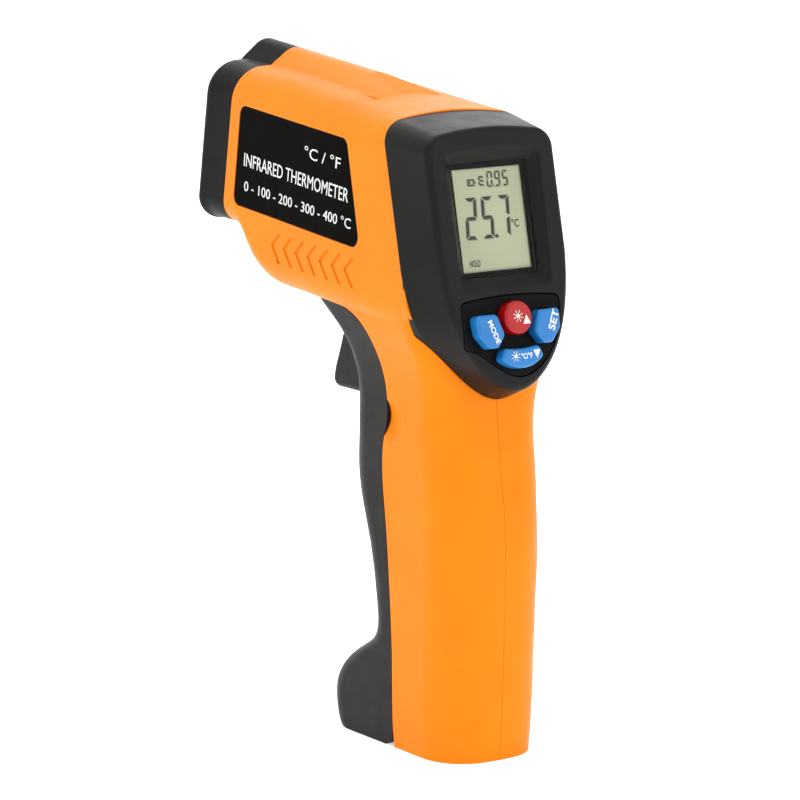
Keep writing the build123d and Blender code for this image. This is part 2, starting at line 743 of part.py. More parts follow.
def battery_plates():
    """Thin contact plates at both ends of the tray."""
    floor = TRAY_Z0 + 1.6
    roof = TRAY_Z1 - 2.0
    plates = [
        box(-10.0, -0.9, 16.9, 25.5, floor, floor + 0.4),
        box(0.9, 10.0, 16.9, 25.5, CELL_Z0 - 0.5, CELL_Z0 - 0.1),
        box(-10.0, -0.9, 16.9, 25.5, CELL_Z0 + BATTERY_L + 0.1, CELL_Z0 + BATTERY_L + 0.5),
        box(0.9, 10.0, 16.9, 25.5, roof, roof + 0.4),
    ]
    return Compound(children=plates)


def finger_pads():
    """Three shallow finger rests across the front of the door, round-ended on its sides."""
    skin = handle_form(0.7)
    pads = Part()
    for front, middle, height in ((49.5, 60.5, 6.2), (44.6, 44.3, 5.0), (42.0, 28.2, 5.0)):
        rear = front - 4.6 + height / 2
        rest = box(-30, 30, rear, front + 10, middle - height / 2, middle + height / 2)
        rest += along_x(rear, middle, height / 2, -30, 30)
        pads += rest - skin
    return pads


def battery_door():
    """Black front of the handle with two tines beside the trigger; swings on the hinge pin."""
    door = outer_form_cache & front_region(FIT)
    door = door & box(-40, 40, 20, 80, -5, 99.7)
    door -= inner_form_cache
    door -= trigger_slot()
    corner = box(-40, 40, HINGE_Y - 8, HINGE_Y, -5, HINGE_Z)
    door -= corner - along_x(HINGE_Y, HINGE_Z, DOOR_CORNER_R, -40, 40)
    door -= box(-5.3, 5.3, 20, HINGE_Y + 3.6, -5, HINGE_Z + 4)
    for side in (-1, 1):
        x0, x1 = sorted((side * 5.3, side * 8.6))
        ear = along_x(HINGE_Y, HINGE_Z, 2.8, x0, x1)
        ear += box(x0, x1, HINGE_Y, HINGE_Y + 5, FOOT_Z + 0.6, HINGE_Z + 2.8)
        door += ear
        rib0, rib1 = sorted((side * 5.0, side * 6.2))
        door += box(rib0, rib1, 26.6, 42, 26, 58) & inner_form_cache
    door += box(-14, 14, 34.5, 47.0, 73.6, 75.6) & inner_form_cache
    door -= along_x(HINGE_Y, HINGE_Z, 1.0, -9, 9)
    door -= finger_pads()
    return door


def hinge_pin():
    return along_x(HINGE_Y, HINGE_Z, 0.95, -8.6, 8.6)


# ---------------------------------------------------------------- fasteners


def housing_screws():
    """Self-tapping screws, one in each boss."""
    screws = []
    for y, z in SCREW_POINTS:
        head = along_x(y, z, 2.2, SCREW_HEAD_X, SCREW_HEAD_X + 1.5)
        cross = box(SCREW_HEAD_X + 0.6, SCREW_HEAD_X + 2, y - 1.3, y + 1.3, z - 0.25, z + 0.25)
        cross += box(SCREW_HEAD_X + 0.6, SCREW_HEAD_X + 2, y - 0.25, y + 0.25, z - 1.3, z + 1.3)
        shank = along_x(y, z, 0.93, -7.0, SCREW_HEAD_X)
        screws.append(head - cross + shank)
    return Compound(children=screws)


# ---------------------------------------------------------------- nodes
outer_form_cache = outer_form()
inner_form_cache = inner_form()
shell_cache = shell_body()
label_left, label_right = labels()

NODES = {
    "left_housing": left_housing(),
    "right_housing": right_housing(),
    "label_left": label_left,
    "label_right": label_right,
    "nose_cap": nose_cap(),
    "lens_ring": lens_ring(),
    "fresnel_lens": fresnel_lens(),
    "sensor_tube": sensor_tube(),
    "thermopile": thermopile(),
    "sensor_board": sensor_board(),
    "laser_module": laser_module(),
    "laser_window": laser_window(),
    "display_housing": display_housing(),
    "display_window": display_window(),
    "lcd_frame": lcd_frame(),
    "lcd_glass": lcd_glass(),
    "lcd_backlight": lcd_backlight(),
    "keypad_panel": keypad_panel(),
    "keypad_mat": keypad_mat(),
    "button_up": button("up"),
    "button_left": button("left"),
    "button_right": button("right"),
    "button_down": button("down"),
    "main_board": main_board(),
    "board_parts": board_parts(),
    "trigger": trigger(),
    "trigger_spring": trigger_spring(),
    "trigger_frame": trigger_frame(),
    "trigger_board": trigger_board(),
    "trigger_switch": trigger_switch(),
    "battery_tray": battery_tray(),
    "battery_left": battery(-1),
    "battery_right": battery(1),
    "battery_springs": battery_springs(),
    "battery_plates": battery_plates(),
    "battery_door": battery_door(),
    "hinge_pin": hinge_pin(),
    "housing_screws": housing_screws(),
}

# Half way between the lowest key's rear edge and the nose face.
CENTRE_Y = 53.74

for name, shape in NODES.items():
    export_step(Pos(0, -CENTRE_Y, -FOOT_Z) * shape, f"parts/{name}.step")
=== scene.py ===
import math

import bmesh
import bpy
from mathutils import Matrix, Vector
from mathutils.bvhtree import BVHTree


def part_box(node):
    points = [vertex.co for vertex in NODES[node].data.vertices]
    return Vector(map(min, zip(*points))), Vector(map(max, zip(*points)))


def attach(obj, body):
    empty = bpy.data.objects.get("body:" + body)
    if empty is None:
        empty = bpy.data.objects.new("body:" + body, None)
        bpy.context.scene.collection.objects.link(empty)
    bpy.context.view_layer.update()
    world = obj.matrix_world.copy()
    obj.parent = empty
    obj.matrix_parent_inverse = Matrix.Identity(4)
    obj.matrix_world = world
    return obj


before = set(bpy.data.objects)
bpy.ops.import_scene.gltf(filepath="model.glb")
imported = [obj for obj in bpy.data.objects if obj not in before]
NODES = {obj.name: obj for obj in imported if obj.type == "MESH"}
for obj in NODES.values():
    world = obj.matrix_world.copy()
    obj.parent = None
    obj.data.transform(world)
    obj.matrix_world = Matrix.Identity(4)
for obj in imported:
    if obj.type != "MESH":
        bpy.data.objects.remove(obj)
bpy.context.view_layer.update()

MM = 0.001                 # the frame is in metres, the measures below are in millimetres

# ---------------------------------------------------------------- places taken from the frame

# The hinge pin gives the zero of the measures used here: its axis lies this far in front of that
# zero and above it.
PIN_AHEAD = 33.8
PIN_ABOVE = 2.4
pin_low, pin_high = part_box("hinge_pin")
PIN = (pin_low + pin_high) / 2
ORIGIN = Vector((0, PIN.y - PIN_AHEAD * MM, PIN.z - PIN_ABOVE * MM))

# Display plane: x to the right, y up the face, z out of it towards the user.
SCREEN_TILT = math.radians(12.4)
SCREEN_PLACE = Vector((0, 8.9, 121.55))    # middle of the LCD's plane, from the zero
SCREEN_RIGHT = Vector((1, 0, 0))
SCREEN_UP = Vector((0, math.sin(SCREEN_TILT), math.cos(SCREEN_TILT)))
SCREEN_OUT = Vector((0, -math.cos(SCREEN_TILT), math.sin(SCREEN_TILT)))
SCREEN_ORIGIN = ORIGIN + SCREEN_PLACE * MM
LCD_FACE = -3.4            # front of the glass
KEY_FACE = 2.7             # tops of the keys
PRINT = 0.02               # half the thickness of printed marks


def on_screen(x, y, z):
    """Point on the display plane, given in millimetres."""
    return SCREEN_ORIGIN + (SCREEN_RIGHT * x + SCREEN_UP * y + SCREEN_OUT * z) * MM


# ---------------------------------------------------------------- materials


def srgb(r, g, b):
    """Linear colour from 0 to 255 display values."""
    values = []
    for v in (r, g, b):
        v /= 255
        values.append(v / 12.92 if v <= 0.04045 else ((v + 0.055) / 1.055) ** 2.4)
    return (*values, 1)


def scaled(colour, factor):
    """The colour, lighter or darker by a factor."""
    return (*[min(1, c * factor) for c in colour[:3]], 1)


class Nodes:
    """Short hand for building one material's node tree."""

    def __init__(self, name):
        self.material = bpy.data.materials.new(name)
        self.material.use_nodes = True
        self.tree = self.material.node_tree
        self.tree.nodes.clear()
        self.output = self.add("ShaderNodeOutputMaterial")
        self.position = self.add("ShaderNodeTexCoord").outputs["Object"]

    def add(self, kind, **settings):
        node = self.tree.nodes.new(kind)
        for key, value in settings.items():
            setattr(node, key, value)
        return node

    def link(self, out, into):
        self.tree.links.new(out, into)

    def noise(self, size_mm, detail=3.0, roughness=0.55, stretch=(1, 1, 1)):
        """Noise with features of about size_mm."""
        mapping = self.add("ShaderNodeMapping")
        mapping.inputs["Scale"].default_value = stretch
        self.link(self.position, mapping.inputs["Vector"])
        noise = self.add("ShaderNodeTexNoise")
        noise.inputs["Scale"].default_value = 1 / (size_mm * MM)
        noise.inputs["Detail"].default_value = detail
        noise.inputs["Roughness"].default_value = roughness
        self.link(mapping.outputs["Vector"], noise.inputs["Vector"])
        return noise.outputs["Fac"]

    def remap(self, value, low, high, from_low=0.3, from_high=0.7):
        node = self.add("ShaderNodeMapRange")
        node.inputs["From Min"].default_value = from_low
        node.inputs["From Max"].default_value = from_high
        node.inputs["To Min"].default_value = low
        node.inputs["To Max"].default_value = high
        self.link(value, node.inputs["Value"])
        return node.outputs["Result"]

    def math(self, operation, a, b=None):
        node = self.add("ShaderNodeMath", operation=operation)
        for socket, value in zip(node.inputs, (a, b)):
            if value is None:
                continue
            if isinstance(value, (int, float)):
                socket.default_value = value
            else:
                self.link(value, socket)
        return node.outputs["Value"]

    def mix(self, factor, a, b):
        node = self.add("ShaderNodeMix", data_type="RGBA")
        self.link(factor, node.inputs["Factor"])
        for socket, value in ((node.inputs[6], a), (node.inputs[7], b)):
            if isinstance(value, tuple):
                socket.default_value = value
            else:
                self.link(value, socket)
        return node.outputs[2]

    def edges(self, radius_mm):
        """(rounded normal, mask that is 1 on sharp edges)."""
        rounded = self.add("ShaderNodeBevel", samples=4)
        rounded.inputs["Radius"].default_value = radius_mm * MM
        geometry = self.add("ShaderNodeNewGeometry")
        dot = self.add("ShaderNodeVectorMath", operation="DOT_PRODUCT")
        self.link(rounded.outputs["Normal"], dot.inputs[0])
        self.link(geometry.outputs["Normal"], dot.inputs[1])
        mask = self.remap(dot.outputs["Value"], 1.0, 0.0, 0.80, 0.985)
        return rounded.outputs["Normal"], mask

    def bump(self, height, depth_mm, strength, normal=None):
        node = self.add("ShaderNodeBump")
        node.inputs["Strength"].default_value = strength
        node.inputs["Distance"].default_value = depth_mm * MM
        self.link(height, node.inputs["Height"])
        if normal is not None:
            self.link(normal, node.inputs["Normal"])
        return node.outputs["Normal"]

    def principled(self, **sockets):
        shader = self.add("ShaderNodeBsdfPrincipled")
        for name, value in sockets.items():
            socket = shader.inputs[name.replace("_", " ")]
            if isinstance(value, (int, float, tuple)):
                socket.default_value = value
            else:
                self.link(value, socket)
        return shader

    def finish(self, shader):
        self.link(shader.outputs[0], self.output.inputs["Surface"])
        return self.material


def moulded(name, colour, rough, grain_mm, grain, edge_mm=0.25, wear_and_highlight=1.25, gloss=0.2, seam=False,
            coat=0.0):
    """Injection moulded plastic: eroded texture, slight mottling, softened and polished edges.

    grain_mm and grain are the size and strength of the texture, edge_mm the softened edge's radius
    and the edge tone factor how much lighter the edges are painted: partly worn plastic, partly a
    painted highlight. seam draws the parting line at x = 0.
    """
    n = Nodes(name)
    clouds = n.noise(14.0, 2.0)
    tone = n.mix(n.remap(clouds, 0, 1), scaled(colour, 0.95), scaled(colour, 1.04))
    rounded, edge = n.edges(edge_mm)
    # Lighter, patchy edges: partly worn plastic, partly a painted highlight.
    worn_and_lit_edges = n.math("MULTIPLY", edge, n.remap(n.noise(2.5, 4.0), 0.15, 0.9))
    tone = n.mix(worn_and_lit_edges, tone, scaled(colour, wear_and_highlight))
    if seam:
        spread = n.add("ShaderNodeSeparateXYZ")
        n.link(n.position, spread.inputs[0])
        side = n.math("ABSOLUTE", spread.outputs["X"])
        line = n.math("LESS_THAN", side, 0.07 * MM)
        tone = n.mix(line, tone, scaled(colour, 0.72))
    fine = n.noise(grain_mm, 2.0, 0.6)
    polish = n.remap(n.noise(6.0, 3.0), rough - 0.05, rough + 0.06)
    roughness = n.math("SUBTRACT", polish, n.math("MULTIPLY", worn_and_lit_edges, 0.12))
    normal = n.bump(fine, 0.05, grain, rounded)
    shader = n.principled(
        Base_Color=tone,
        Roughness=roughness,
        Normal=normal,
        Specular_IOR_Level=gloss,
        Coat_Weight=coat,
        Coat_Roughness=0.3,
    )
    return n.finish(shader)


def metal(name, colour, rough, brushed_along=(1, 1, 1), scratch_mm=0.3):
    """Bare metal with fine directional marks."""
    n = Nodes(name)
    marks = n.noise(scratch_mm, 4.0, 0.7, brushed_along)
    tarnish = n.noise(3.0, 3.0)
    tone = n.mix(n.remap(tarnish, 0, 1), scaled(colour, 0.82), scaled(colour, 1.05))
    roughness = n.remap(marks, rough - 0.08, rough + 0.14)
    rounded, edge = n.edges(0.12)
    # Edges painted lighter: a painted highlight.
    tone = n.mix(n.math("MULTIPLY", edge, 0.6), tone, scaled(colour, 1.3))
    normal = n.bump(marks, 0.02, 0.25, rounded)
    shader = n.principled(Base_Color=tone, Roughness=roughness, Metallic=1.0, Normal=normal)
    return n.finish(shader)


def clear_window(name, tint, gloss):
    """Thin clear plastic: see-through, with an outer face that reflects more when seen aslant."""
    n = Nodes(name)
    fresnel = n.add("ShaderNodeFresnel")
    fresnel.inputs["IOR"].default_value = 1.45
    front = n.math("SUBTRACT", 1.0, n.add("ShaderNodeNewGeometry").outputs["Backfacing"])
    see_through = n.add("ShaderNodeBsdfTransparent")
    see_through.inputs["Color"].default_value = tint
    shine = n.add("ShaderNodeBsdfGlossy")
    shine.inputs["Color"].default_value = (gloss, gloss, gloss, 1)
    n.link(n.remap(n.noise(4.0, 3.0), 0.03, 0.09), shine.inputs["Roughness"])
    both = n.add("ShaderNodeMixShader")
    n.link(n.math("MULTIPLY", fresnel.outputs["Fac"], front), both.inputs["Fac"])
    n.link(see_through.outputs[0], both.inputs[1])
    n.link(shine.outputs[0], both.inputs[2])
    return n.finish(both)


def display_glass(name):
    """Reflective liquid crystal panel: grey green, with a faint silky grain and a faint painted
    glow from its own emission.
    """
    n = Nodes(name)
    colour = srgb(173, 177, 147)
    grain = n.noise(0.25, 3.0, 0.7, (1, 1, 4))
    clouds = n.noise(9.0, 2.0)
    tone = n.mix(n.remap(clouds, 0, 1), scaled(colour, 0.93), scaled(colour, 1.04))
    tone = n.mix(n.remap(grain, 0, 0.35), tone, scaled(colour, 0.88))
    # The emission paints a faint glow onto the panel: painted light.
    shader = n.principled(
        Base_Color=tone,
        Roughness=n.remap(grain, 0.34, 0.5),
        Normal=n.bump(grain, 0.01, 0.15),
        Emission_Color=tone,
        Emission_Strength=0.02,
    )
    return n.finish(shader)


def board(name):
    """Green solder mask with copper traces shining through."""
    n = Nodes(name)
    mask = srgb(18, 92, 48)
    traces = n.add("ShaderNodeTexBrick")
    traces.inputs["Scale"].default_value = 240
    traces.inputs["Mortar Size"].default_value = 0.03
    traces.inputs["Color1"].default_value = (0, 0, 0, 1)
    traces.inputs["Color2"].default_value = (0, 0, 0, 1)
    traces.inputs["Mortar"].default_value = (1, 1, 1, 1)
    n.link(n.position, traces.inputs["Vector"])
    tone = n.mix(traces.outputs["Fac"], mask, scaled(mask, 2.1))
    tone = n.mix(n.remap(n.noise(5.0), 0, 0.5), tone, scaled(mask, 0.7))
    normal = n.bump(traces.outputs["Fac"], 0.03, 0.5, n.edges(0.1)[0])
    shader = n.principled(
        Base_Color=tone, Roughness=n.remap(n.noise(2.0), 0.25, 0.4), Normal=normal
    )
    return n.finish(shader)


def lens_plastic(name):
    """Milky infrared lens with a slight inner glow."""
    n = Nodes(name)
    colour = srgb(214, 214, 204)
    tone = n.mix(n.remap(n.noise(3.0), 0, 1), scaled(colour, 0.92), scaled(colour, 1.03))
    shader = n.principled(
        Base_Color=tone,
        Roughness=n.remap(n.noise(0.6), 0.32, 0.45),
        Normal=n.edges(0.08)[0],
        Subsurface_Weight=0.25,
    )
    shader.inputs["Subsurface Radius"].default_value = (0.0012, 0.0012, 0.001)
    return n.finish(shader)


def ink(name, colour, rough=0.42):
    """Screen print: slightly uneven edges of tone and a dry surface; the same flat tone also serves
    the LCD figures and their painted shadow.
    """
    n = Nodes(name)
    tone = n.mix(n.remap(n.noise(0.8, 4.0), 0, 1), scaled(colour, 0.9), colour)
    normal = n.bump(n.noise(0.12), 0.01, 0.2)
    shader = n.principled(
        Base_Color=tone, Roughness=n.remap(n.noise(0.5), rough - 0.06, rough + 0.1), Normal=normal
    )
    return n.finish(shader)


def label_face(name):
    """Glossy black polyester label: faint orange peel under a clear coat, with its edges painted
    light grey as a highlight.
    """
    n = Nodes(name)
    colour = srgb(6, 5, 4)
    rounded, edge = n.edges(0.15)
    tone = n.mix(n.remap(n.noise(8.0), 0, 1), scaled(colour, 0.85), scaled(colour, 1.15))
    # Painted highlight: the label's edges lightened to grey.
    tone = n.mix(edge, tone, srgb(60, 57, 54))
    normal = n.bump(n.noise(1.6, 1.0), 0.02, 0.06, rounded)
    shader = n.principled(
        Base_Color=tone,
        Roughness=n.remap(n.noise(5.0), 0.34, 0.42),
        Normal=normal,
        Specular_IOR_Level=0.01,
    )
    return n.finish(shader)


def key_plastic(name, colour):
    """Satin coloured key cap, painted a little lighter on its edges: partly worn by fingers, partly
    a painted highlight.
    """
    n = Nodes(name)
    rounded, edge = n.edges(0.3)
    tone = n.mix(n.remap(n.noise(5.0), 0, 1), scaled(colour, 0.92), scaled(colour, 1.06))
    # Lighter edges: partly finger-worn, partly a painted highlight.
    tone = n.mix(n.math("MULTIPLY", edge, 0.5), tone, scaled(colour, 1.5))
    normal = n.bump(n.noise(0.22), 0.02, 0.12, rounded)
    shader = n.principled(
        Base_Color=tone,
        Roughness=n.remap(n.noise(3.0), 0.26, 0.36),
        Normal=normal,
        Specular_IOR_Level=0.25,
        Coat_Weight=0.3,
        Coat_Roughness=0.12,
    )
    return n.finish(shader)


def cell_wrapper(name):
    """Plain shrink wrap of a dry cell: dark body with a copper coloured band near the top."""
    n = Nodes(name)
    band_height = 53
    spread = n.add("ShaderNodeSeparateXYZ")
    n.link(n.position, spread.inputs[0])
    band = n.math("GREATER_THAN", spread.outputs["Z"], band_height * MM)
    tone = n.mix(band, srgb(28, 34, 58), srgb(176, 112, 62))
    tone = n.mix(n.remap(n.noise(4.0), 0, 0.25), tone, srgb(12, 14, 22))
    normal = n.bump(n.noise(3.0, 2.0), 0.03, 0.15, n.edges(0.2)[0])
    shader = n.principled(
        Base_Color=tone, Roughness=n.remap(n.noise(2.0), 0.2, 0.34), Normal=normal
    )
    return n.finish(shader)


ORANGE = srgb(234, 126, 8)
BLACK = srgb(21, 21, 20)

shell_orange = moulded("shell_orange", ORANGE, 0.42, 0.35, 0.10, 0.35, 1.12, 0.07, seam=True,
                       coat=0.05)
# The edge tone factors on the black parts paint their edges much lighter: partly worn plastic,
# partly a painted highlight.
black_satin = moulded("black_plastic", BLACK, 0.40, 0.30, 0.20, 0.3, 2.6, 0.14)
black_nose = moulded("black_nose", srgb(13, 13, 12), 0.40, 0.30, 0.16, 0.3, 5.0, 0.04)
black_matt = moulded("black_grip", srgb(27, 26, 25), 0.48, 0.30, 0.26, 0.3, 2.2, 0.13)
black_inner = moulded("black_inner", srgb(26, 26, 27), 0.55, 0.4, 0.2)
black_frame = moulded("black_frame", srgb(12, 12, 12), 0.6, 0.4, 0.2, 0.2, 1.5, 0.05)
black_panel = moulded("black_panel", srgb(10, 10, 10), 0.5, 0.25, 0.2, 0.25, 8.0, 0.07)
guide_white = moulded("light_guide", srgb(226, 228, 220), 0.3, 0.5, 0.05, 0.2, 1.0)
rubber_grey = moulded("rubber_grey", srgb(92, 92, 94), 0.7, 0.2, 0.3, 0.2, 1.1)
chip_black = moulded("chips", srgb(34, 34, 36), 0.6, 0.15, 0.35, 0.1, 1.5)
label_black = label_face("label_black")
lens_milky = lens_plastic("lens")
can_metal = metal("sensor_metal", srgb(200, 198, 190), 0.3)
steel = metal("steel", srgb(190, 190, 192), 0.28, (1, 1, 6))
plate_metal = metal("contact_plate", srgb(206, 200, 188), 0.32, (6, 1, 1))
zinc = metal("screw_zinc", srgb(182, 184, 188), 0.3, (1, 5, 1))
brass = metal("laser_brass", srgb(206, 166, 88), 0.26, (1, 6, 1))
board_green = board("board_green")
window_clear = clear_window("window_clear", (0.98, 0.99, 0.98, 1), 0.22)
laser_clear = clear_window("laser_clear", (0.75, 0.5, 0.5, 1), 0.9)
lcd_panel = display_glass("lcd")
key_blue = key_plastic("key_blue", srgb(26, 114, 182))
key_red = key_plastic("key_red", srgb(164, 6, 9))
wrapper = cell_wrapper("battery_skin")
white_ink = ink("print_white", srgb(232, 232, 230))
segment_ink = ink("lcd_segment", srgb(24, 25, 21), 0.4)
# Painted shadow: the tone of the figures' shadow on the reflector behind the LCD.
lcd_shadow_paint = ink("lcd_painted_shadow", srgb(136, 140, 114), 0.4)

FINISH = {
    "left_housing": shell_orange,
    "right_housing": shell_orange,
    "label_left": label_black,
    "label_right": label_black,
    "nose_cap": black_nose,
    "lens_ring": black_inner,
    "fresnel_lens": lens_milky,
    "sensor_tube": black_inner,
    "thermopile": can_metal,
    "sensor_board": board_green,
    "laser_module": brass,
    "laser_window": laser_clear,
    "display_housing": black_satin,
    "display_window": window_clear,
    "lcd_frame": black_frame,
    "lcd_glass": lcd_panel,
    "lcd_backlight": guide_white,
    "keypad_panel": black_panel,
    "keypad_mat": rubber_grey,
    "button_up": key_red,
    "button_left": key_blue,
    "button_right": key_blue,
    "button_down": key_blue,
    "main_board": board_green,
    "board_parts": chip_black,
    "trigger": black_matt,
    "trigger_spring": steel,
    "trigger_frame": black_inner,
    "trigger_board": board_green,
    "trigger_switch": chip_black,
    "battery_tray": black_inner,
    "battery_left": wrapper,
    "battery_right": wrapper,
    "battery_springs": steel,
    "battery_plates": plate_metal,
    "battery_door": black_matt,
    "hinge_pin": steel,
    "housing_screws": zinc,
}

for node_name, node in NODES.items():
    node.data.materials.clear()
    node.data.materials.append(FINISH[node_name])

# ---------------------------------------------------------------- building pieces


def piece(name, mesh, material, body):
    """Puts a finished mesh into the scene and lets it ride on a body."""
    thing = bpy.data.objects.new(name, mesh)
    bpy.context.scene.collection.objects.link(thing)
    mesh.materials.clear()
    mesh.materials.append(material)
    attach(thing, body)
    return thing


def prisms(name, outlines, place, back, front, material, body):
    """One closed thin solid for each outline (millimetres, anticlockwise), between two heights."""
    shape = bmesh.new()
    for outline in outlines:
        low = [shape.verts.new(place(x, y, back)) for x, y in outline]
        high = [shape.verts.new(place(x, y, front)) for x, y in outline]
        count = len(outline)
        shape.faces.new(high)
        shape.faces.new(list(reversed(low)))
        for i in range(count):
            j = (i + 1) % count
            shape.faces.new((low[i], low[j], high[j], high[i]))
    bmesh.ops.recalc_face_normals(shape, faces=shape.faces)
    mesh = bpy.data.meshes.new(name)
    shape.to_mesh(mesh)
    shape.free()
    return piece(name, mesh, material, body)


def lettering(name, words, width, height, start, angle, place, lift, material, body, bold=0.02):
    """Closed letters, width by height millimetres, from start along a direction in degrees."""
    curve = bpy.data.curves.new(name, "FONT")
    curve.body = words
    curve.size = 1.0
    curve.extrude = 0.5
    curve.resolution_u = 3
    curve.offset = bold
    holder = bpy.data.objects.new(name + "_curve", curve)
    bpy.context.scene.collection.objects.link(holder)
    bpy.context.view_layer.update()
    mesh = bpy.data.meshes.new_from_object(holder)
    bpy.data.objects.remove(holder)
    bpy.data.curves.remove(curve)
    xs = [v.co.x for v in mesh.vertices]
    left, span = min(xs), max(xs) - min(xs)
    cap = 0.70             # height of a capital in a font of size 1
    cos, sin = math.cos(math.radians(angle)), math.sin(math.radians(angle))
    for v in mesh.vertices:
        along = (v.co.x - left) / span * width
        up = v.co.y / cap * height
        x = start[0] + along * cos - up * sin
        y = start[1] + along * sin + up * cos
        v.co = place(x, y, lift if v.co.z > 0 else -lift)
    shape = bmesh.new()
    shape.from_mesh(mesh)
    bmesh.ops.remove_doubles(shape, verts=shape.verts, dist=1e-7)
    bmesh.ops.recalc_face_normals(shape, faces=shape.faces)
    shape.to_mesh(mesh)
    shape.free()
    return piece(name, mesh, material, body)


def circle(x, y, radius, count=20):
    """Outline of a disc."""
    angles = [2 * math.pi * i / count for i in range(count)]
    return [(x + radius * math.cos(a), y + radius * math.sin(a)) for a in angles]


def turn(points, angle, about):
    """An outline turned by an angle in degrees about a point."""
    cos, sin = math.cos(math.radians(angle)), math.sin(math.radians(angle))
    moved = []
    for x, y in points:
        x, y = x - about[0], y - about[1]
        moved.append((about[0] + x * cos - y * sin, about[1] + x * sin + y * cos))
    return moved


def sun(x, y, size):
    """Backlight symbol: a disc with eight rays."""
    outlines = [circle(x, y, 0.36 * size)]
    for ray in range(8):
        bar = [(x + 0.5 * size, y - 0.07 * size), (x + size, y - 0.05 * size),
               (x + size, y + 0.05 * size), (x + 0.5 * size, y + 0.07 * size)]
        outlines.append(turn(bar, 45 * ray + 22.5, (x, y)))
    return outlines


# ---------------------------------------------------------------- label print


def surface_finder(node_name, side):
    """Function that gives the outer surface's x at a side view point, for a thin plate."""
    mesh = NODES[node_name].data
    tree = BVHTree.FromPolygons([v.co for v in mesh.vertices], [p.vertices for p in mesh.polygons])

    def place(u, v, lift):
        """u is millimetres along the side (to the right as seen), v is height."""
        y = ORIGIN.y + (side * u) * MM
        z = ORIGIN.z + v * MM
        outside = Vector((side * 50 * MM, y, z))
        hit = tree.ray_cast(outside, Vector((-side, 0, 0)))[0]
        return Vector((hit.x + side * lift * MM, y, z))

    return place


LABEL_TILT = 4.3
LABEL_ROWS = [
    # words, far end (front), near end (rear), baseline height at the rear, cap height
    ("row1", "°C / °F", 58.6, 43.0, 129.9, 2.6),
    ("row2", "INFRARED THERMOMETER", 85.4, 39.5, 122.9, 3.1),
    ("row3", "0 - 100 - 200 - 300 - 400 °C", 85.1, 38.2, 117.1, 2.3),
]

for side, tag in ((-1, "left"), (1, "right")):
    place = surface_finder("label_" + tag, side)
    for row, words, front, rear, height, cap in LABEL_ROWS:
        rise = (front - rear) * math.tan(math.radians(LABEL_TILT))
        width = (front - rear) / math.cos(math.radians(LABEL_TILT))
        if side < 0:
            start, angle = (-front, height + rise), -LABEL_TILT
        else:
            start, angle = (rear, height), LABEL_TILT
        lettering(f"print_{tag}_{row}", words, width, cap, start, angle, place, PRINT,
                  white_ink, "housing", bold=0.0)

# ---------------------------------------------------------------- display content

SEGMENTS = {
    "0": "abcdef", "1": "bc", "2": "abged", "3": "abgcd", "4": "fgbc",
    "5": "afgcd", "6": "afgedc", "7": "abc", "8": "abcdefg", "9": "abcdfg",
}


def digit(figure, x, y, width, height, stroke, slant=0.07):
    """Outlines of a seven segment figure; x, y is its lower left corner."""
    half = height / 2
    gap = 0.16 * stroke + 0.06
    flat = [(gap, 0), (width - gap, 0), (width - gap - stroke, stroke), (gap + stroke, stroke)]
    post = [(0, gap), (stroke, gap + stroke), (stroke, half - gap - stroke / 2), (0, half - gap)]
    bar = [(gap, 0), (gap + stroke / 2, -stroke / 2), (width - gap - stroke / 2, -stroke / 2),
           (width - gap, 0), (width - gap - stroke / 2, stroke / 2), (gap + stroke / 2, stroke / 2)]
    shapes = {
        "d": flat,
        "a": [(u, height - v) for u, v in reversed(flat)],
        "g": [(u, half + v) for u, v in bar],
        "e": post,
        "f": [(u, height - v) for u, v in reversed(post)],
        "c": [(width - u, v) for u, v in reversed(post)],
        "b": [(width - u, height - v) for u, v in post],
    }
    outlines = []
    for name in SEGMENTS[figure]:
        outlines.append([(x + u + slant * v, y + v) for u, v in shapes[name]])
    return outlines


def number(text, x, y, width, height, stroke, pitch):
    """Outlines of several figures with a decimal point."""
    outlines = []
    for character in text:
        if character == ".":
            outlines.append(circle(x - (pitch - width) / 2, y + stroke * 0.45, stroke * 0.5, 12))
        else:
            outlines += digit(character, x, y, width, height, stroke)
            x += pitch
    return outlines


def epsilon(x, y, width, height, stroke):
    """Outlines of the emissivity sign: three bars and a broken upright."""
    bars = []
    for level, start in ((0.0, 0.15), (0.5, 0.3), (1.0, 0.15)):
        low = y + level * (height - stroke)
        high = low + stroke
        left, right = x + start * width, x + width
        bars.append([(left, low), (right, low), (right, high), (left, high)])
    for low, high in ((0.1, 0.42), (0.58, 0.9)):
        bars.append([(x, y + low * height), (x + stroke, y + low * height),
                     (x + stroke, y + high * height), (x, y + high * height)])
    return bars


def lcd_marks(dx, dy):
    """All figures on the display, shifted by a small amount."""
    marks = number("25.7", -7.1 + dx, -4.15 + dy, 3.1, 9.2, 0.82, 4.4)
    marks += number("0.95", 0.0 + dx, 7.1 + dy, 1.5, 3.4, 0.36, 2.1)
    battery = [
        [(-5.2, 7.6), (-3.3, 7.6), (-3.3, 7.9), (-4.9, 7.9), (-4.9, 8.8), (-5.2, 8.8)],
        [(-3.6, 8.0), (-3.3, 8.0), (-3.3, 9.1), (-5.2, 9.1), (-5.2, 8.8), (-3.6, 8.8)],
        [(-3.2, 8.1), (-2.95, 8.1), (-2.95, 8.6), (-3.2, 8.6)],
        [(-4.75, 8.05), (-4.35, 8.05), (-4.35, 8.65), (-4.75, 8.65)],
    ]
    marks += [[(x + dx, y + dy) for x, y in outline] for outline in battery]
    marks += epsilon(-2.1 + dx, 7.5 + dy, 1.3, 2.1, 0.34)
    return marks


prisms("lcd_figures", lcd_marks(0, 0), on_screen, LCD_FACE - PRINT, LCD_FACE + 0.05,
       segment_ink, "housing")
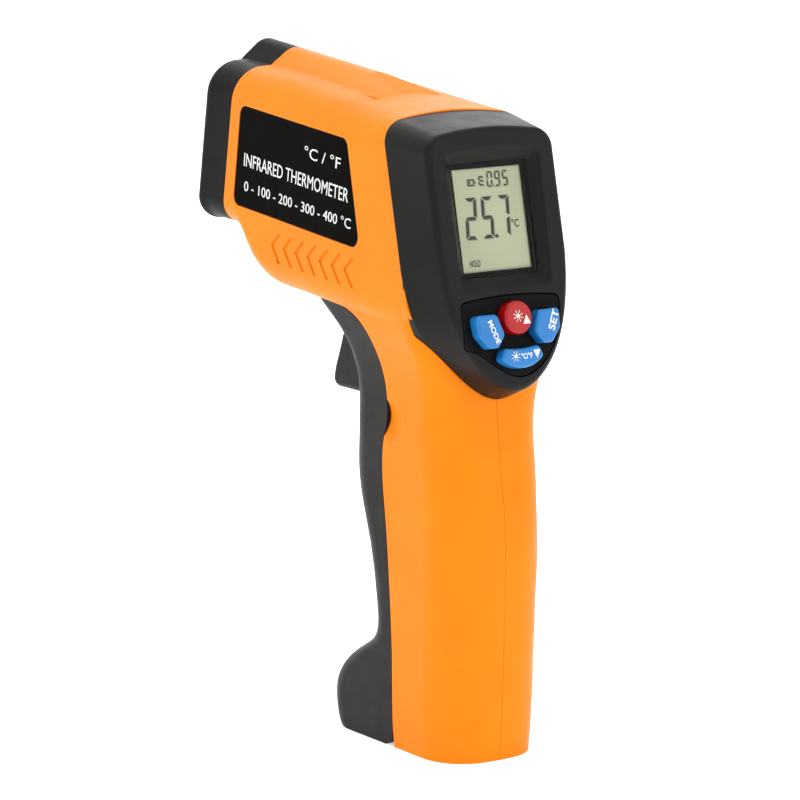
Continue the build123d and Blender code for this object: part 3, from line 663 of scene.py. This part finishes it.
# Painted shadow of the figures: a darker copy moved a little down and to the right.
prisms("lcd_figure_shadows", lcd_marks(0.22, -0.2), on_screen, LCD_FACE - PRINT,
       LCD_FACE + PRINT, lcd_shadow_paint, "housing")
for name, words, width, height, x, y in (
    ("lcd_unit", "°C", 2.0, 1.7, 5.4, -2.2),
    ("lcd_hold", "HOLD", 2.9, 1.4, -7.1, -10.1),
):
    lettering(name, words, width, height, (x, y), 0, lambda u, v, w: on_screen(u, v, LCD_FACE + w),
              0.045, segment_ink, "housing")

# ---------------------------------------------------------------- key legends


def on_key(x, y, lift):
    """Point on the plane of the keys' tops, given in millimetres."""
    return on_screen(x, y, KEY_FACE + lift)


lettering("legend_left_key", "MODE", 5.4, 1.2, (-8.5, -22.5), -69.9, on_key, PRINT,
          white_ink, "button_left")
lettering("legend_right_key", "SET", 4.6, 1.7, (9.0, -26.0), 66.0, on_key, PRINT,
          white_ink, "button_right")
up_marks = sun(-0.2, -21.9, 1.35) + [[(2.0, -21.75), (0.95, -23.75), (2.95, -23.75)]]
prisms("legend_up_key", up_marks, on_key, -PRINT, PRINT, white_ink, "button_up")
down_marks = sun(-2.1, -30.6, 1.2) + [[(2.75, -29.6), (4.6, -29.6), (3.6, -31.4)]]
prisms("legend_down_key", down_marks, on_key, -PRINT, PRINT, white_ink, "button_down")
lettering("legend_down_units", "°C/°F", 3.0, 1.15, (-0.65, -31.3), 0, on_key, PRINT,
          white_ink, "button_down")

# ---------------------------------------------------------------- stage, light and camera


def stage_material(name, colour, rough, glow):
    """Backlit studio paper, so that the ground stays evenly white."""
    n = Nodes(name)
    tone = n.mix(n.remap(n.noise(60.0), 0, 1), scaled(colour, 0.99), colour)
    shader = n.principled(
        Base_Color=tone, Roughness=rough, Emission_Color=(1, 1, 1, 1), Emission_Strength=glow
    )
    return n.finish(shader)


def sweep_backdrop():
    """Floor that curves up into a wall far behind the object."""
    width, front, bend, radius, top = 6.0, -3.0, 2.2, 0.8, 3.5
    steps = 12
    profile = [(front, 0.0), (bend, 0.0)]
    for i in range(1, steps + 1):
        a = math.pi / 2 * i / steps
        profile.append((bend + radius * math.sin(a), radius * (1 - math.cos(a))))
    profile.append((bend + radius, top))
    shape = bmesh.new()
    rows = [[shape.verts.new((x, y, z)) for y, z in profile] for x in (-width, width)]
    for i in range(len(profile) - 1):
        shape.faces.new((rows[0][i], rows[1][i], rows[1][i + 1], rows[0][i + 1]))
    bmesh.ops.recalc_face_normals(shape, faces=shape.faces)
    mesh = bpy.data.meshes.new("backdrop")
    shape.to_mesh(mesh)
    shape.free()
    for polygon in mesh.polygons:
        polygon.use_smooth = True
    thing = bpy.data.objects.new("backdrop", mesh)
    bpy.context.scene.collection.objects.link(thing)
    mesh.materials.append(stage_material("paper", (0.93, 0.93, 0.93, 1), 0.9, 0.5))


sweep_backdrop()


def area_light(name, place, target, size, energy):
    """Soft lamp aimed at a point."""
    lamp = bpy.data.lights.new(name, "AREA")
    lamp.shape = "RECTANGLE"
    lamp.size, lamp.size_y = size
    lamp.energy = energy
    thing = bpy.data.objects.new(name, lamp)
    thing.location = place
    thing.rotation_euler = (Vector(target) - Vector(place)).to_track_quat("-Z", "Y").to_euler()
    bpy.context.scene.collection.objects.link(thing)


MIDDLE = (0, 0, 0.09)
area_light("key", (-0.9, -0.5, 0.9), MIDDLE, (0.7, 0.7), 0.9)
area_light("fill", (0.55, -1.0, 0.45), MIDDLE, (0.8, 0.9), 2.0)
area_light("top", (0.0, 0.15, 1.1), MIDDLE, (0.9, 0.9), 5.0)
area_light("rear", (0.5, 0.9, 0.6), MIDDLE, (0.8, 0.8), 1.6)

world = bpy.data.worlds.new("studio")
bpy.context.scene.world = world
world.use_nodes = True
world.node_tree.nodes["Background"].inputs["Color"].default_value = (1, 1, 1, 1)
world.node_tree.nodes["Background"].inputs["Strength"].default_value = 0.95

scene = bpy.context.scene
scene.view_settings.view_transform = "Standard"

CAMERA_PLACE = Vector((-0.5028, -0.6842, 0.2396))    # metres from the zero of the measures
CAMERA_DOWN = 10.5         # degrees below level
CAMERA_RIGHT = 34.5        # degrees to the right of +Y

camera_data = bpy.data.cameras.new("camera")
camera_data.sensor_width = 36.0
camera_data.lens = 177.63
camera_data.clip_start = 0.01
camera_data.clip_end = 50
camera = bpy.data.objects.new("camera", camera_data)
camera.location = ORIGIN + CAMERA_PLACE
camera.rotation_euler = (math.radians(90 - CAMERA_DOWN), 0, math.radians(-CAMERA_RIGHT))
scene.collection.objects.link(camera)
scene.camera = camera
